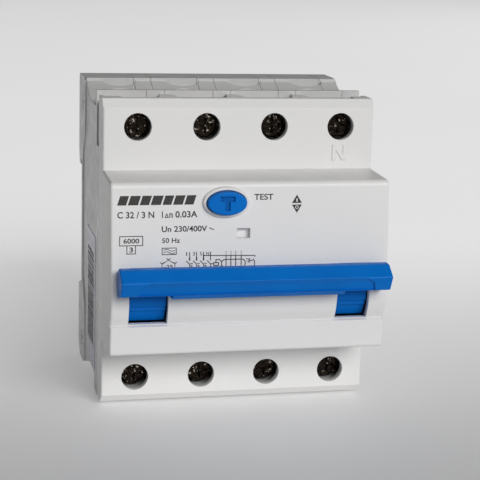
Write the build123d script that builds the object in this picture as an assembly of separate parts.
"""Four-module residual current breaker with overcurrent protection, for a 35 mm DIN rail.

Frame: X to the right across the poles, Y from the front towards the rail, Z up.
The origin is the middle of the seat that rests on the rail. Sizes are in millimetres.
Every sub-part is written to parts/NODE.step.
"""

from build123d import *
import math
import os

# --- Driving dimensions -------------------------------------------------------------------
POLE_PITCH = 17.8
POLE_X = [POLE_PITCH * (i - 1.5) for i in range(4)]
HALF_WIDTH = 2 * POLE_PITCH
SEAM_X = 4.1                    # parting plane of a pole, to the right of the pole's centre
SEAM_GAP = 0.05                 # half of the visible gap between neighbouring shells
WALL = 1.2

TERMINAL_Y = -44.0              # front faces that hold the screwdriver holes
COVER_BACK_Y = -37.4            # rear edge of the front cover's top and bottom skirts
COVER_SIDE_BACK_Y = -35.7       # rear edge of its side walls
COVER_TOP_Z = 40.6
COVER_BOTTOM_Z = -39.7
NOSE_TOP_Z = 22.45
SCREW_TOP_Z = 33.5
SCREW_BOTTOM_Z = -32.8
SCREWDRIVER_HOLE_R = 3.55
LEDGE = 1.05                    # the ledge under the toggle; its ends stay sharp

SHELL_FRONT_Y = -42.3
SHELL_TOP_Z = 41.9
SHELL_BOTTOM_Z = -40.5
RIM = (-7.5, 41.2)              # foot of the step in front of the raised rear rim
FOOT_Y = 6.5                    # how far the feet reach behind the rail seat
SEAT_Z = (-15.6, 16.1)          # the seat face, clear of the hooks above and below it
RELIEF_Y = -0.15                # the face between the seat and the hooks lies back a little
BAND_PROUD = 0.4                # the rear of the outer walls stands this much proud
ENTRY_Y = -16.5                 # axis of the wire entries
ENTRY_R = 5.0

TOGGLE_AXIS = (-47.0, -6.3)     # Y and Z of the toggle's shaft
TOGGLE_FACE_R = 15.0            # curved part of the nose around the toggle
DRUM_R = 13.4
TOGGLE_SHAFT_R = 2.0
WINDOWS_X = [(-31.0, -21.2), (22.4, 30.9)]
WINDOW_Z = (-13.7, 1.1)
BAR_HALF_LENGTH = 34.15

BUTTON_X = -6.9
BUTTON_Z = 17.1
BUTTON_SIZE = (9.9, 5.9)
FLAG_X = -2.3
FLAG_Z = 9.2

CARRIER_AXIS = (-24.0, 2.0)     # Y and Z of the contact carrier's shaft
CARRIER_R = 2.45
TRIP_AXIS = (-31.0, -18.0)      # Y and Z of the trip bar
TRIP_R = 1.6
SHAFT_CLEARANCE = 0.05

SCREW_R = 2.45                  # M5 shank
SCREW_HEAD_Y = -40.4
BAR_Y = (-23.0, -21.5)          # thickness of the terminal bars
COIL_Z = -15.0
COIL_DX = -1.5
LIVE_POLES = POLE_X[:3]

CLIP_DX = -2.4                  # middle of the clip's channel, from the pole's centre
CLIP_WIDTH = 8.4
CLIP_GAP = 0.2

TOROID = (7.0, -50.0, 6.5)      # left face, and Y and Z of the axis
TOROID_LENGTH = 9.0
TOROID_R = (4.6, 8.2)

RELAY_PIN_X = 10.0
RELAY_PIN_Z = -19.0

RIVET_SPOTS = [(-39.0, 24.4), (-39.0, -24.0), (-4.0, 35.0), (-3.4, -33.5)]
RIVET_R = 1.2


# --- Helpers ------------------------------------------------------------------------------
def block(x0, x1, y0, y1, z0, z1):
    """A box between two corners."""
    middle = Pos((x0 + x1) / 2, (y0 + y1) / 2, (z0 + z1) / 2)
    return middle * Box(x1 - x0, y1 - y0, z1 - z0)


def side_prism(face, x0, x1):
    """A flat shape seen from the side (its own X is Y, its own Y is Z), from x0 to x1."""
    return extrude(Plane.YZ.offset(x0) * face, amount=x1 - x0, dir=(1, 0, 0))


def polygon(*points):
    return make_face(Polyline(*points, close=True))


def prism(points, x0, x1):
    """A side outline of straight runs, extruded from x0 to x1."""
    return side_prism(polygon(*points), x0, x1)


def plate(sketch, y_front, y_back):
    """A flat shape seen from the front (its own Y is Z), from y_back to y_front."""
    return extrude(Plane.XZ.offset(-y_back) * sketch, amount=y_back - y_front, dir=(0, -1, 0))


def rod(start, end, radius):
    """A round rod between two points."""
    run = Vector(*end) - Vector(*start)
    low_end = (Align.CENTER, Align.CENTER, Align.MIN)
    return Plane(start, z_dir=run) * Cylinder(radius, run.length, align=low_end)


def cross_rod(spot, radius, x0, x1):
    """A rod along X at a (Y, Z) spot."""
    return rod((x0, *spot), (x1, *spot), radius)


def wire(points, radius, bend):
    """A round wire along straight runs with rounded corners."""
    path = FilletPolyline(*points, radius=bend)
    section = Plane(origin=path @ 0, z_dir=path % 0) * Circle(radius)
    return sweep(section, path=path)


def coil_spring(spot, radius, wire_r, turns, x0, x1):
    """A helical spring about an axis along X at a (Y, Z) spot."""
    length = x1 - x0
    path = Helix(pitch=length / turns, height=length, radius=radius)
    section = Plane(origin=path @ 0, z_dir=path % 0) * Circle(wire_r)
    upright = sweep(section, path=path, is_frenet=True)
    return Pos(x0, *spot) * Rot(Y=90) * upright


def group(shapes):
    """Several separate solids in one node."""
    return Compound([solid for shape in shapes for solid in shape.solids()])


def rounded(face, corners):
    """The face with the corners nearest to the given points rounded: {(y, z): radius}."""
    for point, radius in corners.items():
        corner = min(face.vertices(), key=lambda v: math.dist((v.X, v.Y), point))
        face = fillet(corner, radius)
    return face


def about(axis, radius, degrees):
    """A point on a circle round a (Y, Z) axis; 0 degrees is the front, 90 is up."""
    angle = math.radians(degrees)
    return (axis[0] - radius * math.cos(angle), axis[1] + radius * math.sin(angle))


def arc(axis, radius, start, end):
    """An arc round a (Y, Z) axis between two angles of about()."""
    middle = about(axis, radius, (start + end) / 2)
    return ThreePointArc(about(axis, radius, start), middle, about(axis, radius, end))


# --- Front cover --------------------------------------------------------------------------
def cover_outline():
    """Side view of the front cover: terminal faces, chamfers, nose and toggle arc."""
    crease = about(TOGGLE_AXIS, TOGGLE_FACE_R, -30.4)
    arc_top = about(TOGGLE_AXIS, TOGGLE_FACE_R, 0)
    upper = Polyline(
        (COVER_BACK_Y, COVER_TOP_Z), (TERMINAL_Y + 1.8, COVER_TOP_Z),
        (TERMINAL_Y, COVER_TOP_Z - 2.3), (TERMINAL_Y, NOSE_TOP_Z),
        (-59.6, 22.05), arc_top,
    )
    lower = Polyline(
        crease, (-60.9, -14.2), (-60.4, -21.7), (TERMINAL_Y, -NOSE_TOP_Z),
        (TERMINAL_Y, COVER_BOTTOM_Z + 2.0), (TERMINAL_Y + 1.8, COVER_BOTTOM_Z),
        (COVER_BACK_Y, COVER_BOTTOM_Z), (COVER_BACK_Y, COVER_TOP_Z),
    )
    curve = arc(TOGGLE_AXIS, TOGGLE_FACE_R, 0, -30.4)
    face = make_face([*upper.edges(), *curve.edges(), *lower.edges()])
    return rounded(face, {(-59.6, 22.05): 1.5, (-60.4, -21.7): 0.8})


def cover_cavity():
    """Side view of the space inside the front cover, open at the rear."""
    inner_r = TOGGLE_FACE_R - 1.5
    back = COVER_BACK_Y + 5
    upper = Polyline(
        (back, 39.1), (-41.4, 39.1), (-42.5, 37.8), (-42.5, 20.95), (-58.2, 20.6),
        about(TOGGLE_AXIS, inner_r, 0),
    )
    lower = Polyline(
        about(TOGGLE_AXIS, inner_r, -32), (-58.9, -20.3), (-42.5, -20.95),
        (-42.5, -37.0), (-41.4, -38.3), (back, -38.3), (back, 39.1),
    )
    curve = arc(TOGGLE_AXIS, inner_r, 0, -32)
    return make_face([*upper.edges(), *curve.edges(), *lower.edges()])


def letter_n(x0, z0, width, height, stroke):
    """A plain capital N as a flat shape."""
    lean = stroke * 1.25
    left = Pos(x0 + stroke / 2, z0 + height / 2) * Rectangle(stroke, height)
    right = Pos(x0 + width - stroke / 2, z0 + height / 2) * Rectangle(stroke, height)
    diagonal = polygon(
        (x0, z0 + height), (x0 + lean, z0 + height), (x0 + width, z0), (x0 + width - lean, z0)
    )
    return left + right + diagonal


def make_front_cover():
    inner_x = HALF_WIDTH - WALL
    side = make_face(Polyline(
        (COVER_BACK_Y - 0.5, COVER_TOP_Z), (COVER_SIDE_BACK_Y, COVER_TOP_Z),
        (COVER_SIDE_BACK_Y, COVER_BOTTOM_Z), (COVER_BACK_Y - 0.5, COVER_BOTTOM_Z), close=True,
    ))
    cover = side_prism(cover_outline(), -HALF_WIDTH, HALF_WIDTH)
    front_edges = [
        edge for edge in cover.edges()
        if abs(abs(edge.center().X) - HALF_WIDTH) < 0.01
        and edge.center().Y < TERMINAL_Y + 0.3 and edge.length > LEDGE
    ]
    cover = fillet(front_edges, 0.6)
    cover += side_prism(side, -HALF_WIDTH, HALF_WIDTH)
    cover -= side_prism(cover_cavity(), -inner_x, inner_x)
    # The top of the skirt is a little lower between its ends.
    cover -= block(-30.4, 31.1, TERMINAL_Y + 2.3, COVER_SIDE_BACK_Y + 1, COVER_TOP_Z - 0.3, 42)
    # Between the ends the skirts stop short of the side walls' rear edge.
    cover -= block(-inner_x, inner_x, COVER_BACK_Y, COVER_SIDE_BACK_Y + 1, -41, 42)
    for x in POLE_X:
        for z in (SCREW_TOP_Z, SCREW_BOTTOM_Z):
            cover -= rod((x, TERMINAL_Y - 1, z), (x, -41.0, z), SCREWDRIVER_HOLE_R)
    # Tongues at the pole boundaries bridge the groove behind the top skirt.
    for boundary in (-POLE_PITCH, 0, POLE_PITCH):
        top = Pos(boundary, 0) * polygon((-2.7, -37.8), (2.7, -37.8), (1.2, -30.8), (-1.2, -30.8))
        cover += extrude(Plane.XY.offset(COVER_TOP_Z - 1.5) * top, amount=1.25)
    for x0, x1 in WINDOWS_X:
        cover -= block(x0, x1, -66, -56, *WINDOW_Z)
    cover += button_sleeve()
    cover -= plate(Pos(BUTTON_X, BUTTON_Z) * Ellipse(5.15, 3.15), -66, -54.2)
    cover -= rod((BUTTON_X, -56, BUTTON_Z), (BUTTON_X, -52, BUTTON_Z), 1.7)
    cover -= plate(Pos(FLAG_X, FLAG_Z) * Rectangle(3.3, 2.5), -66, -57)
    for rib_z in (FLAG_Z - 2.6, FLAG_Z + 2.6):
        cover += block(-9.5, 5.0, -59.9, -57.6, rib_z - 0.4, rib_z + 0.4)
    # Bearings of the toggle's shaft, inside the side walls.
    for side_x, low, high in ((-1, -inner_x, -32.0), (1, 32.0, inner_x)):
        cover += cross_rod(TOGGLE_AXIS, 3.6, low, high)
        end = side_x * (inner_x + 0.3)
        hole_x = sorted((side_x * 31.0, end))
        cover -= cross_rod(TOGGLE_AXIS, TOGGLE_SHAFT_R + SHAFT_CLEARANCE, *hole_x)
    for letter_z in (24.7, -27.8):
        letter = letter_n(24.7, letter_z, 3.9, 4.0, 0.95)
        cover += plate(letter, TERMINAL_Y - 0.15, TERMINAL_Y + 0.3)
    return cover


def button_sleeve():
    """Raised collar round the test button, and the guide sleeve behind it."""
    collar = plate(Pos(BUTTON_X, BUTTON_Z) * Ellipse(5.85, 3.85), -61.0, -59.0)
    rim = [e for e in collar.edges() if abs(e.center().Y + 61.0) < 0.01]
    collar = fillet(rim, 0.3)
    return collar + plate(Pos(BUTTON_X, BUTTON_Z) * Ellipse(6.15, 4.15), -59.2, -53.2)


# --- Pole shells --------------------------------------------------------------------------
SHELL_OUTLINE = [
    (SHELL_FRONT_Y, 37.7), (-41.3, 38.9), (-30.7, 38.9), (-30.7, 41.25), (-29.2, 41.25),
    (-29.2, 37.0), (-19.1, 37.0), (-11.4, 39.567), RIM, (RIM[0], SHELL_TOP_Z),
    (FOOT_Y - 1.2, SHELL_TOP_Z),
    (FOOT_Y, SHELL_TOP_Z - 1.2), (FOOT_Y, 20.2), (5.2, 16.3), (1.5, 16.3), (1.5, 17.9),
    (RELIEF_Y, 17.9), (RELIEF_Y, SEAT_Z[1]), (0.0, SEAT_Z[1]), (0.0, SEAT_Z[0]),
    (RELIEF_Y, SEAT_Z[0]), (RELIEF_Y, -17.9), (1.3, -17.9), (FOOT_Y, -19.5), (FOOT_Y, -36.5),
    (3.0, SHELL_BOTTOM_Z), (-4.4, SHELL_BOTTOM_Z), (-19.1, -36.1), (-29.2, -36.1),
    (-29.4, -40.4), (-34.8, -40.4), (-34.8, -38.1), (-41.3, -38.1), (SHELL_FRONT_Y, -36.9),
]
CAVITY_UPPER = [
    (-40.9, -36.6), (-40.9, 37.4), (-30.4, 37.4), (-30.4, 36.15), (-19.3, 36.15),
    (-12.4, 38.25), (-6.4, 38.25), (-4.6, 40.6), (5.1, 40.6), (5.1, 20.4), (-1.5, 19.4),
    (-1.5, -19.6),
]
CAVITY_FOOT = {
    True: [(-1.5, -39.1), (-4.6, -39.1)],
    False: [(5.1, -20.6), (5.1, -36.1), (2.5, -39.1), (-4.6, -39.1)],
}
CAVITY_LOWER = [(-19.3, -35.35), (-30.4, -35.35), (-30.4, -36.6)]
RIB_TOP_Z = (27.0, 28.0)
RIB_BOTTOM_Z = (-27.4, -26.4)


def has_clip(x):
    """The first and the last pole carry a rail clip."""
    return x in (POLE_X[0], POLE_X[-1])


def entry_bosses(x):
    """Thick rings round the two wire entries of a pole."""
    outside = SHELL_OUTLINE
    rings = rod((x, ENTRY_Y, 35.9), (x, ENTRY_Y, 42), 6.3)
    rings += rod((x, ENTRY_Y, -42), (x, ENTRY_Y, -35.0), 6.3)
    return rings & prism(outside, x - 8, x + 8)


def wire_scoop(x):
    """The rounded pocket between a pole's upper wire entry and the rim behind it."""
    scoop = Pos(x, RIM[0], 41.0) * extrude(Ellipse(4.75, 2.85), amount=3.0, both=True)
    return scoop & block(x - 5, x + 5, RIM[0] - 3, RIM[0], 39.35, RIM[1] + 0.5)


def shell_half(x, x0, x1, inner_x0, inner_x1):
    """Part of a pole's case between x0 and x1, hollow between inner_x0 and inner_x1."""
    cavity = CAVITY_UPPER + CAVITY_FOOT[has_clip(x)] + CAVITY_LOWER
    shell = prism(SHELL_OUTLINE, x0, x1)
    shell -= prism(cavity, inner_x0, inner_x1)
    rib_x = (max(x0, inner_x0 - 0.1), min(x1, inner_x1 + 0.1))
    for rib_z in (RIB_TOP_Z, RIB_BOTTOM_Z):
        shell += block(*rib_x, -41.0, BAR_Y[0] - 0.6, *rib_z)
        shell += block(*rib_x, BAR_Y[1] + 0.6, -1.4, *rib_z)
    shell += entry_bosses(x) & block(x0, x1, -40, 0, -45, 45)
    shell -= rod((x, ENTRY_Y, 35.0), (x, ENTRY_Y, 45), ENTRY_R)
    shell -= rod((x, ENTRY_Y, -45), (x, ENTRY_Y, -34.0), ENTRY_R)
    shell -= wire_scoop(x)
    # The front is open behind the nose, where the toggles and the button reach in.
    shell -= block(x0, x1, -43, -40.8, -20.9, 20.9)
    for z in (SCREW_TOP_Z, SCREW_BOTTOM_Z):
        shell -= rod((x, -43, z), (x, -40.0, z), SCREWDRIVER_HOLE_R + 0.25)
    for spot in RIVET_SPOTS:
        shell -= cross_rod(spot, RIVET_R + 0.1, x0 - 1, x1 + 1)
    return shell


def inner_wall_openings(x0, x1):
    """What is cut from the walls between poles: one window and two shaft holes."""
    opening = block(x0, x1, -43, -33.8, -20.9, 20.9)
    opening += cross_rod(CARRIER_AXIS, CARRIER_R + 0.6, x0, x1)
    opening += cross_rod(TRIP_AXIS, TRIP_R + 0.6, x0, x1)
    return opening


def band_plate(x0, x1):
    """The proud rear band of an outer wall, with its curved front edge."""
    deep, shallow = -7.5, -2.2
    outline = polygon(
        (deep, SHELL_TOP_Z - 0.9), (deep, 26.8), (shallow, 20.7), (shallow, -14.6),
        (deep, -23.4), (deep, SHELL_BOTTOM_Z + 0.9), (-4.4, SHELL_BOTTOM_Z),
        (3.0, SHELL_BOTTOM_Z), (FOOT_Y, -36.5), (FOOT_Y, -19.5), (1.3, -17.9),
        (RELIEF_Y, -17.9), (RELIEF_Y, SEAT_Z[0]), (0, SEAT_Z[0]), (0, SEAT_Z[1]),
        (RELIEF_Y, SEAT_Z[1]), (RELIEF_Y, 17.9), (1.5, 17.9), (1.5, 16.3), (5.2, 16.3),
        (FOOT_Y, 20.2),
        (FOOT_Y, SHELL_TOP_Z - 1.2), (FOOT_Y - 1.2, SHELL_TOP_Z), (-4.4, SHELL_TOP_Z),
    )
    soft = {(deep, 26.8): 4.0, (shallow, 20.7): 4.0, (shallow, -14.6): 5.0, (deep, -23.4): 5.0}
    return side_prism(rounded(outline, soft), x0, x1)


def outer_wall(side):
    """What the outer wall of the first (side -1) or last (side 1) pole adds."""
    inside_x = sorted((side * (HALF_WIDTH - WALL - 0.1), side * (HALF_WIDTH - 2.5)))
    step = prism(SHELL_OUTLINE, *inside_x) & block(*inside_x, -43, -30.6, -45, 45)
    step -= block(*inside_x, -43, -40.8, -20.9, 20.9)
    band_x = sorted((side * (HALF_WIDTH - 0.2), side * (HALF_WIDTH + BAND_PROUD)))
    boss_x = sorted((side * (HALF_WIDTH - 0.6), side * (HALF_WIDTH - 3.2)))
    carrier = cross_rod(CARRIER_AXIS, 4.0, *boss_x)
    trip = cross_rod(TRIP_AXIS, 3.0, *boss_x)
    return step + band_plate(*band_x) + carrier + trip


def outer_wall_cuts(side):
    """What is cut from the outer wall of the first or last pole."""
    cover_x = sorted((side * (HALF_WIDTH - WALL - 0.1), side * (HALF_WIDTH + 1)))
    cuts = block(*cover_x, -45, COVER_SIDE_BACK_Y + 0.1, -45, 45)
    groove_x = sorted((side * (HALF_WIDTH - 0.8), side * (HALF_WIDTH + 1)))
    cuts += block(*groove_x, -36, -31.2, 27.1, 45)
    hole_x = sorted((side * (HALF_WIDTH - 1.0), side * (HALF_WIDTH - 4)))
    cuts += cross_rod(CARRIER_AXIS, CARRIER_R + SHAFT_CLEARANCE, *hole_x)
    cuts += cross_rod(TRIP_AXIS, TRIP_R + SHAFT_CLEARANCE, *hole_x)
    head_x = sorted((side * (HALF_WIDTH - 0.1), side * (HALF_WIDTH + 1)))
    for spot in RIVET_SPOTS[2:]:
        cuts += cross_rod(spot, 2.3, *head_x)
    for spot in RIVET_SPOTS:
        cuts += cross_rod(spot, RIVET_R + 0.1, *sorted((side * 30, side * 37)))
    return cuts


def clip_channel(x):
    """The T-shaped channel that guides a rail clip, cut from the bottom foot."""
    middle = x + CLIP_DX
    half = CLIP_WIDTH / 2 + CLIP_GAP
    channel = block(middle - half, middle + half, 1.5, 4.8, -42, -17)
    return channel + block(middle - half + 1.2, middle + half - 1.2, 4.7, 7, -42, -17)


def make_pole_base(x):
    """The deep half of a pole's case, with its left wall."""
    x0 = x - POLE_PITCH / 2 + SEAM_GAP
    x1 = x + SEAM_X - SEAM_GAP
    if x == POLE_X[0]:
        x0 = -HALF_WIDTH
    base = shell_half(x, x0, x1, x0 + WALL, x1 + 1)
    if x == POLE_X[0]:
        base += outer_wall(-1)
        base -= outer_wall_cuts(-1)
    else:
        base -= inner_wall_openings(x0 - 1, x0 + WALL + 0.1)
    if has_clip(x):
        base -= clip_channel(x)
    return base


def make_pole_cover(x):
    """The shallow half of a pole's case, with its right wall."""
    x0 = x + SEAM_X + SEAM_GAP
    x1 = x + POLE_PITCH / 2 - SEAM_GAP
    if x == POLE_X[-1]:
        x1 = HALF_WIDTH
    cover = shell_half(x, x0, x1, x0 - 1, x1 - WALL)
    if x == POLE_X[-1]:
        cover += outer_wall(1)
        cover -= outer_wall_cuts(1)
    else:
        cover -= inner_wall_openings(x1 - WALL - 0.1, x1 + 1)
    return cover


def make_rivets():
    """Long rivets that hold the poles together; the rear two show their heads."""
    rivets = [cross_rod(spot, RIVET_R, -34.2, 34.2) for spot in RIVET_SPOTS[:2]]
    for spot in RIVET_SPOTS[2:]:
        rivet = cross_rod(spot, RIVET_R, -35.9, 35.9)
        rivet += cross_rod(spot, 2.1, -35.9, -35.5)
        rivet += cross_rod(spot, 2.1, 35.5, 35.9)
        rivet -= cross_rod(spot, 0.8, -37, -34.9)
        rivet -= cross_rod(spot, 0.8, 34.9, 37)
        rivets.append(rivet)
    return group(rivets)


def make_side_label():
    """The sticker on the left side."""
    return block(-HALF_WIDTH - 0.12, -HALF_WIDTH, -30.4, -12.3, -34.6, 1.8)


def make_din_clip(x):
    """A rail clip: hooked plate in the bottom foot, with a slot for a screwdriver."""
    middle = x + CLIP_DX
    half = CLIP_WIDTH / 2
    clip = block(middle - half, middle + half, 1.7, 4.6, -40.3, -18.6)
    hook = [(1.7, -19.0), (1.7, -16.4), (2.6, -15.8), (4.6, -17.6), (4.6, -19.0)]
    clip += prism(hook, middle - half, middle + half)
    clip += block(middle - half + 1.5, middle + half - 1.5, 4.5, 6.2, -36.0, -33.8)
    clip -= block(middle - 2.0, middle + 2.0, 1.0, 5.0, -39.2, -37.4)
    # Two slits free the edges, which act as leaf springs.
    for slit_x in (middle - 2.6, middle + 2.6):
        clip -= block(slit_x - 0.3, slit_x + 0.3, 1.0, 5.0, -31.0, -21.5)
    return clip


# --- Toggle -------------------------------------------------------------------------------
def drum_sector():
    """Side view of a toggle: hub, curved front with two small steps, and the arm."""
    steps = arc(TOGGLE_AXIS, DRUM_R, 60, -12.2)
    lower = arc(TOGGLE_AXIS, DRUM_R - 0.9, -18.3, -35)
    points = [
        about(TOGGLE_AXIS, DRUM_R, -12.2), about(TOGGLE_AXIS, DRUM_R - 0.7, -12.4),
        about(TOGGLE_AXIS, DRUM_R - 0.3, -18.1), about(TOGGLE_AXIS, DRUM_R - 0.9, -18.3),
    ]
    rear = Polyline(
        about(TOGGLE_AXIS, DRUM_R - 0.9, -35), about(TOGGLE_AXIS, 3.2, -80),
        about(TOGGLE_AXIS, 3.2, 130), about(TOGGLE_AXIS, DRUM_R, 60),
    )
    return make_face([*steps.edges(), *Polyline(*points).edges(), *lower.edges(), *rear.edges()])


LINK_PIN = (-38.5, -2.3)        # Y and Z of the pin that joins the link to the toggles
LINK_PIN_R = 0.6


def make_toggle(x0, x1):
    """One toggle: drum, hub, rear lever and the arm that carries the tie bar."""
    low = x0 + 0.3
    high = x1 - 0.3
    toggle = side_prism(drum_sector(), low, high)
    toggle += cross_rod(TOGGLE_AXIS, 4.2, low, high)
    arm = [
        about(TOGGLE_AXIS, 10, 24), (-62.4, 0.9), (-62.4, -5.9), about(TOGGLE_AXIS, 10, 1),
    ]
    toggle += prism(arm, low, high)
    lever_x = (low + high) / 2
    lever = [(-48.5, -9.8), (-46.0, -2.2), (-38.8, -0.8), (-37.2, -2.4), (-38.6, -3.9)]
    toggle += prism(lever, lever_x - 1.5, lever_x + 1.5)
    toggle -= cross_rod(LINK_PIN, LINK_PIN_R + SHAFT_CLEARANCE, low, high)
    toggle -= cross_rod(TOGGLE_AXIS, TOGGLE_SHAFT_R, low - 1, high + 1)
    return toggle


def make_tie_bar():
    """The long handle that joins both toggles, with a finger groove along its front."""
    outline = polygon(
        (-62.4, 0.7), (-64.9, 2.0), (-67.2, 2.0), (-70.8, -0.5), (-69.0, -4.2), (-62.4, -6.0)
    )
    soft = {(-64.9, 2.0): 0.8, (-67.2, 2.0): 1.6, (-70.8, -0.5): 0.5, (-69.0, -4.2): 0.4}
    bar = side_prism(rounded(outline, soft), -BAR_HALF_LENGTH, BAR_HALF_LENGTH)
    front_edges = [
        edge for edge in bar.edges()
        if abs(abs(edge.center().X) - BAR_HALF_LENGTH) < 0.01 and edge.center().Y < -65.0
    ]
    bar = fillet(front_edges, 0.35)
    # Between the toggles the underside hangs a little lower.
    keel = [(-68.9, -4.1), (-67.7, -5.35), (-62.4, -6.0), (-63.4, -3.0)]
    bar += prism(keel, WINDOWS_X[0][1], WINDOWS_X[1][0])
    # The groove starts under a sharp ridge and ends at slanted walls.
    groove = [(-72, -0.55), (-70.6, -0.55), (-69.75, -1.75), (-68.6, -4.1), (-72, -4.1)]
    front = polygon(
        (-26.0, 0), (26.3, 0), (29.4, -1.8), (30.4, -5), (-30.1, -5), (-29.1, -1.8)
    )
    return bar - (prism(groove, -31, 31) & plate(front, -73, -68))


def make_toggle_shaft():
    return cross_rod(TOGGLE_AXIS, TOGGLE_SHAFT_R, -33.9, 33.9)


def make_toggle_links():
    """Wire links from the toggles towards the contact carrier."""
    links = []
    for x0, x1 in WINDOWS_X:
        middle = (x0 + x1) / 2
        start = (middle - 1.4, *LINK_PIN)
        turn = (middle + 2.6, *LINK_PIN)
        reach = (middle + 2.6, -30.9, 1.6)
        end = (middle - 1.0, -30.9, 1.6)
        links.append(wire([start, turn, reach, end], LINK_PIN_R, 1.0))
    return group(links)


def make_handle_spring():
    return coil_spring(TOGGLE_AXIS, 3.1, 0.4, 6, -19.4, -14.4)


# --- Test button and trip flag ------------------------------------------------------------
def make_test_button():
    """Oval button with a recessed T, a stem and a retaining collar on the stem."""
    half_x = BUTTON_SIZE[0] / 2
    half_z = BUTTON_SIZE[1] / 2
    head = plate(Ellipse(half_x, half_z), -62.5, -57.0)
    rim = [e for e in head.edges() if abs(e.center().Y + 62.5) < 0.01]
    head = fillet(rim, 0.4)
    bar = Pos(0, 1.15) * Rectangle(3.7, 1.3)
    stem = Pos(0, -0.3) * Rectangle(1.3, 3.0)
    head -= plate(bar + stem, -63, -61.95)
    head += rod((0, -57.5, 0), (0, -53.3, 0), 1.4)
    return Pos(BUTTON_X, 0, BUTTON_Z) * head


def make_button_spring():
    spring = coil_spring((0, 0), 2.1, 0.25, 4, 0.3, 2.4)
    return Pos(BUTTON_X, -54.2, BUTTON_Z) * Rot(Z=-90) * spring


def make_test_blade():
    """Bronze contact blade behind the button, with its mounting foot."""
    blade = block(-8.6, -5.2, -51.4, -50.9, 10.6, 19.4)
    return blade + block(-8.6, -5.2, -51.4, -47.4, 10.1, 10.6)


def make_trip_flag():
    """Flag behind the small window; its two halves show in turn."""
    flag = block(FLAG_X - 2.3, FLAG_X + 6.7, -59.0, -58.2, FLAG_Z - 1.9, FLAG_Z + 1.9)
    return flag + block(FLAG_X + 5.2, FLAG_X + 6.7, -58.3, -53.4, FLAG_Z - 1.9, FLAG_Z - 1.0)


# --- Terminals ----------------------------------------------------------------------------
def make_terminal_screw(x, z):
    """M5 terminal screw with a cross recess, facing the front."""
    head_back = SCREW_HEAD_Y + 1.8
    head = plate(Circle(3.2), SCREW_HEAD_Y, head_back)
    rim = [e for e in head.edges() if abs(e.center().Y - SCREW_HEAD_Y) < 0.01]
    head = chamfer(rim, 0.3)
    screw = head + rod((0, head_back - 0.2, 0), (0, BAR_Y[0] - 0.75, 0), SCREW_R)
    screw += rod((0, BAR_Y[0] - 1.0, 0), (0, BAR_Y[0] - 0.05, 0), 1.7)
    recess = Rectangle(4.4, 0.95) + Rectangle(0.95, 4.4)
    screw -= plate(recess, SCREW_HEAD_Y - 1, SCREW_HEAD_Y + 1.4)
    screw -= plate(Rot(Z=45) * Rectangle(1.9, 1.9), SCREW_HEAD_Y - 1, SCREW_HEAD_Y + 1.4)
    return Pos(x, 0, z) * screw


def make_clamp_cage(x, z):
    """Lift cage of a terminal: a loop round the wire, with the screw's thread in front."""
    inward = -1 if z > 0 else 1
    low, high = sorted((z + inward * 4.9, z - inward * 1.7))
    tall_low, tall_high = sorted((z + inward * 4.9, z - inward * 3.6))
    cage = block(x - 6.3, x + 6.3, -33.1, -9.4, low, high)
    cage -= block(x - 4.9, x + 4.9, -31.5, -11.0, low - 1, high + 1)
    cage += block(x - 4.9, x + 4.9, -33.1, -30.7, tall_low, tall_high)
    cage -= rod((x, -35, z), (x, -29, z), SCREW_R + SHAFT_CLEARANCE)
    return cage


def make_line_bars():
    """Terminal bars of the line side, bent to the fixed contacts."""
    outline = [
        (BAR_Y[0], 35.7), (BAR_Y[1], 35.7), (BAR_Y[1], 26.3), (-9.0, 26.3), (-9.0, 9.0),
        (-10.5, 9.0), (-10.5, 24.8), (BAR_Y[0], 24.8),
    ]
    bars = []
    for x in POLE_X:
        bar = prism(outline, x - 3.2, x + 1.4)
        bar += rod((x - 1.0, -10.5, 12.5), (x - 1.0, -11.5, 12.5), 1.9)
        bars.append(bar)
    return group(bars)


def make_load_bars():
    """Terminal bars of the load side; the neutral one runs up to its braid."""
    bars = []
    for x in POLE_X:
        top = -22.5 if x in LIVE_POLES else -11.6
        bar = block(x - 3.2, x + 3.2, *BAR_Y, -34.8, -22.5)
        bar += block(x - 3.2, x + 1.4, *BAR_Y, -23.5, top + 0.01)
        if x in LIVE_POLES:
            bar += block(x + 3.1, x + 7.2, *BAR_Y, -25.6, -22.5)
        bars.append(bar)
    return group(bars)


# --- Switching parts in each pole ---------------------------------------------------------
def make_contact_carrier():
    """Shaft through all poles, with one insulating socket for each contact arm."""
    carrier = cross_rod(CARRIER_AXIS, CARRIER_R, -34.4, 34.4)
    y, z = CARRIER_AXIS
    socket = [(y - 3.6, z - 3.2), (y + 2.8, z - 3.6), (y + 4.4, z + 1.6), (y - 1.8, z + 5.6)]
    for x in POLE_X:
        carrier += prism(socket, x - 4.2, x + 2.2)
        carrier -= block(x - 2.25, x + 0.25, y - 0.5, y + 12, z + 1.0, z + 12)
    return carrier


def make_moving_contacts():
    """Copper contact arms with their tips, held in the carrier."""
    y, z = CARRIER_AXIS
    outline = [
        (y - 0.4, z + 1.1), (y + 3.0, z + 1.1), (-13.6, 10.2), (-12.5, 10.4), (-12.5, 14.4),
        (-14.3, 14.4),
    ]
    arms = []
    for x in POLE_X:
        arm = prism(outline, x - 2.2, x + 0.2)
        arm += rod((x - 1.0, -12.6, 12.5), (x - 1.0, -11.56, 12.5), 1.8)
        arms.append(arm)
    return group(arms)


def make_braids():
    """Flexible braids from the contact carrier to the coils."""
    braids = []
    for x in POLE_X:
        path = [(x - 1.0, -24.4, -2.0), (x - 1.0, -24.4, -7.0), (x - 1.0, -22.25, -10.9)]
        braids.append(wire(path, 0.9, 2.5))
    return group(braids)


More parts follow.
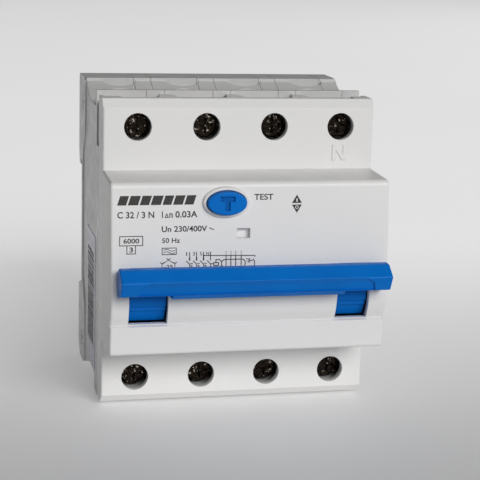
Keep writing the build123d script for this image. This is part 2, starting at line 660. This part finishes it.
def make_arc_plates():
    """Steel plates that split and cool the arc, stacked from front to rear."""
    notch = polygon((-1.0, 5.1), (1.0, 5.1), (0.0, 1.0))
    outline = Rectangle(10.6, 10.0) - notch
    plates = []
    for x in POLE_X:
        for k in range(7):
            y = -15.6 + 1.65 * k
            plates.append(Pos(x - 0.6, 0, -3.0) * plate(outline, y - 0.4, y + 0.4))
    return group(plates)


def make_arc_cheeks():
    """Insulating side sheets that hold the arc plates."""
    cheeks = []
    for x in POLE_X:
        for cheek_x in (x - 6.6, x + 4.75):
            cheeks.append(block(cheek_x, cheek_x + 0.65, -16.6, -4.9, -8.3, 2.3))
    return group(cheeks)


def make_coil_windings():
    """Overcurrent coils; the ridges are the turns of thick copper wire."""
    turns = 7
    pitch = 1.85
    start = -18.2
    points = [(2.9, start), (4.9, start)]
    for k in range(turns):
        low = start + k * pitch
        points += [(5.2, low + 0.3), (5.2, low + pitch - 0.4), (4.7, low + pitch - 0.05)]
    points += [(2.9, start + turns * pitch)]
    section = make_face(Polyline(*points, close=True))
    winding = revolve(section, Axis.Y, 360)
    winding += rod((0, start + 0.6, 4.2), (0, start - 3.0, 4.2), 0.6)
    return group([Pos(x + COIL_DX, 0, COIL_Z) * winding for x in LIVE_POLES])


def make_coil_yokes():
    """Steel frames round the coils, with the hole for the plunger in front."""
    yokes = []
    for x in LIVE_POLES:
        middle = x + COIL_DX
        yoke = block(middle - 5.2, middle + 5.2, -19.7, -18.4, -20.0, -12.6)
        yoke += block(middle - 5.2, middle + 5.2, -19.7, -3.6, -21.5, -20.4)
        yoke += block(middle - 5.2, middle + 5.2, -19.7, -18.4, -20.6, -19.9)
        yoke += block(middle - 5.2, middle + 5.2, -4.9, -3.6, -20.6, -10.6)
        yoke += rod((middle, -4.8, COIL_Z), (middle, -9.0, COIL_Z), 2.2)
        yoke -= rod((middle, -21, COIL_Z), (middle, -17, COIL_Z), 2.3)
        yokes.append(yoke)
    return group(yokes)


def make_plunger(x):
    """Plunger of one overcurrent coil, with its thin striker pin in front."""
    middle = x + COIL_DX
    plunger = rod((middle, -18.9, COIL_Z), (middle, -12.6, COIL_Z), 2.1)
    return plunger + rod((middle, -22.9, COIL_Z), (middle, -18.8, COIL_Z), 1.0)


def make_bimetals():
    """Bimetal strips on the load bars, which bend towards the trip bar when hot."""
    strips = [block(x + 4.3, x + 7.0, -24.0, BAR_Y[0], -25.2, -10.8) for x in LIVE_POLES]
    return group(strips)


def make_trip_bar():
    """Trip bar through all poles: a finger for each bimetal, plunger and the relay."""
    y, z = TRIP_AXIS
    bar = cross_rod(TRIP_AXIS, TRIP_R, -34.4, 34.4)
    for x in LIVE_POLES:
        for finger_x in (x + COIL_DX, x + 5.6):
            finger = [(y, z + 1.2), (y + 1.2, z), (-25.3, -12.4), (-26.4, -11.6)]
            if finger_x < x:
                finger = [(y, z + 1.2), (y + 1.2, z), (-26.2, -14.2), (-26.8, -13.2)]
            bar += prism(finger, finger_x - 1.2, finger_x + 1.2)
    bar += block(RELAY_PIN_X - 1.2, RELAY_PIN_X + 1.2, y - 2.4, y, z - 2.7, z)
    return bar


# --- Residual current parts ---------------------------------------------------------------
def make_toroid_core():
    """Ring core of the summation transformer."""
    x, y, z = TOROID
    ring = rod((x, y, z), (x + TOROID_LENGTH, y, z), TOROID_R[1])
    return ring - rod((x - 1, y, z), (x + TOROID_LENGTH + 1, y, z), TOROID_R[0])


def make_toroid_winding():
    """Secondary winding: wire loops round the core's section."""
    x, y, z = TOROID
    wire_thick = 0.6
    width = 0.8
    loops = 20
    low, high = TOROID_R
    outer = block(
        -wire_thick, TOROID_LENGTH + wire_thick, -width / 2, width / 2,
        low - wire_thick, high + wire_thick,
    )
    inner = block(-0.05, TOROID_LENGTH + 0.05, -width, width, low - 0.05, high + 0.05)
    loop = outer - inner
    turned = [Pos(x, y, z) * Rot(X=360 / loops * k) * loop for k in range(loops)]
    return group(turned)


def make_primary_conductors():
    """The four pole conductors, which pass together through the core."""
    x, y, z = TOROID
    offset = 1.5
    conductors = []
    for row, left_x, right_x in ((-offset, -19.4, 21.0), (offset, -16.6, 18.5)):
        for dz in (-offset, offset):
            ends = [
                (left_x, -36.0, z + dz), (left_x, y + row, z + dz),
                (right_x, y + row, z + dz), (right_x, -36.0, z + dz),
            ]
            conductors.append(wire(ends, 1.1, 1.6))
    return group(conductors)


def make_relay_housing():
    """Case of the trip relay, with the hole for its pin at the rear."""
    case = block(2.4, 16.4, -57.0, -44.6, -20.1, -10.5)
    upright = [e for e in case.edges() if e.length > 12.3 and abs(e.tangent_at(0).Y) > 0.9]
    case = fillet(upright, 0.8)
    case -= rod((RELAY_PIN_X, -50.0, RELAY_PIN_Z), (RELAY_PIN_X, -44.0, RELAY_PIN_Z), 0.75)
    return case


def make_relay_pin():
    """Pin that the relay drives towards the trip bar's lower arm."""
    return rod((RELAY_PIN_X, -49.6, RELAY_PIN_Z), (RELAY_PIN_X, -35.2, RELAY_PIN_Z), 0.7)


def make_circuit_board():
    """Board of the test circuit, with two mounting notches."""
    board = block(-19.2, 0.4, -45.6, -44.2, -20.2, -11.0)
    for notch_x in (-17.6, -1.2):
        board -= rod((notch_x, -46, -12.4), (notch_x, -44, -12.4), 0.8)
    return board


def make_test_resistor():
    """Resistor of the test circuit on its board, with bent leads."""
    body = rod((-14.6, -47.6, -16.0), (-5.6, -47.6, -16.0), 1.7)
    for edge_x, turn_x in ((-14.5, -16.4), (-5.7, -3.8)):
        lead = [(edge_x, -47.6, -16.0), (turn_x, -47.6, -16.0), (turn_x, -45.62, -16.0)]
        body += wire(lead, 0.35, 0.8)
    return body


# --- Output -------------------------------------------------------------------------------
def make_parts():
    parts = {
        "front_cover": make_front_cover(),
        "housing_rivets": make_rivets(),
        "side_label": make_side_label(),
        "din_clip_left": make_din_clip(POLE_X[0]),
        "din_clip_right": make_din_clip(POLE_X[-1]),
        "left_toggle": make_toggle(*WINDOWS_X[0]),
        "right_toggle": make_toggle(*WINDOWS_X[1]),
        "handle_tie_bar": make_tie_bar(),
        "toggle_shaft": make_toggle_shaft(),
        "toggle_links": make_toggle_links(),
        "handle_spring": make_handle_spring(),
        "test_button": make_test_button(),
        "test_button_spring": make_button_spring(),
        "test_contact_blade": make_test_blade(),
        "trip_flag": make_trip_flag(),
        "line_terminal_bars": make_line_bars(),
        "load_terminal_bars": make_load_bars(),
        "contact_carrier": make_contact_carrier(),
        "moving_contacts": make_moving_contacts(),
        "flexible_braids": make_braids(),
        "arc_chute_plates": make_arc_plates(),
        "arc_chute_cheeks": make_arc_cheeks(),
        "coil_windings": make_coil_windings(),
        "coil_yokes": make_coil_yokes(),
        "bimetal_strips": make_bimetals(),
        "trip_bar": make_trip_bar(),
        "toroid_core": make_toroid_core(),
        "toroid_winding": make_toroid_winding(),
        "primary_conductors": make_primary_conductors(),
        "relay_housing": make_relay_housing(),
        "relay_pin": make_relay_pin(),
        "circuit_board": make_circuit_board(),
        "test_resistor": make_test_resistor(),
    }
    for number, x in enumerate(POLE_X, start=1):
        parts[f"pole_base_{number}"] = make_pole_base(x)
        parts[f"pole_cover_{number}"] = make_pole_cover(x)
        parts[f"line_screw_{number}"] = make_terminal_screw(x, SCREW_TOP_Z)
        parts[f"load_screw_{number}"] = make_terminal_screw(x, SCREW_BOTTOM_Z)
        parts[f"line_cage_{number}"] = make_clamp_cage(x, SCREW_TOP_Z)
        parts[f"load_cage_{number}"] = make_clamp_cage(x, SCREW_BOTTOM_Z)
    for number, x in enumerate(LIVE_POLES, start=1):
        parts[f"coil_plunger_{number}"] = make_plunger(x)
    return parts


os.makedirs("parts", exist_ok=True)
for name, shape in make_parts().items():
    export_step(shape, f"parts/{name}.step")
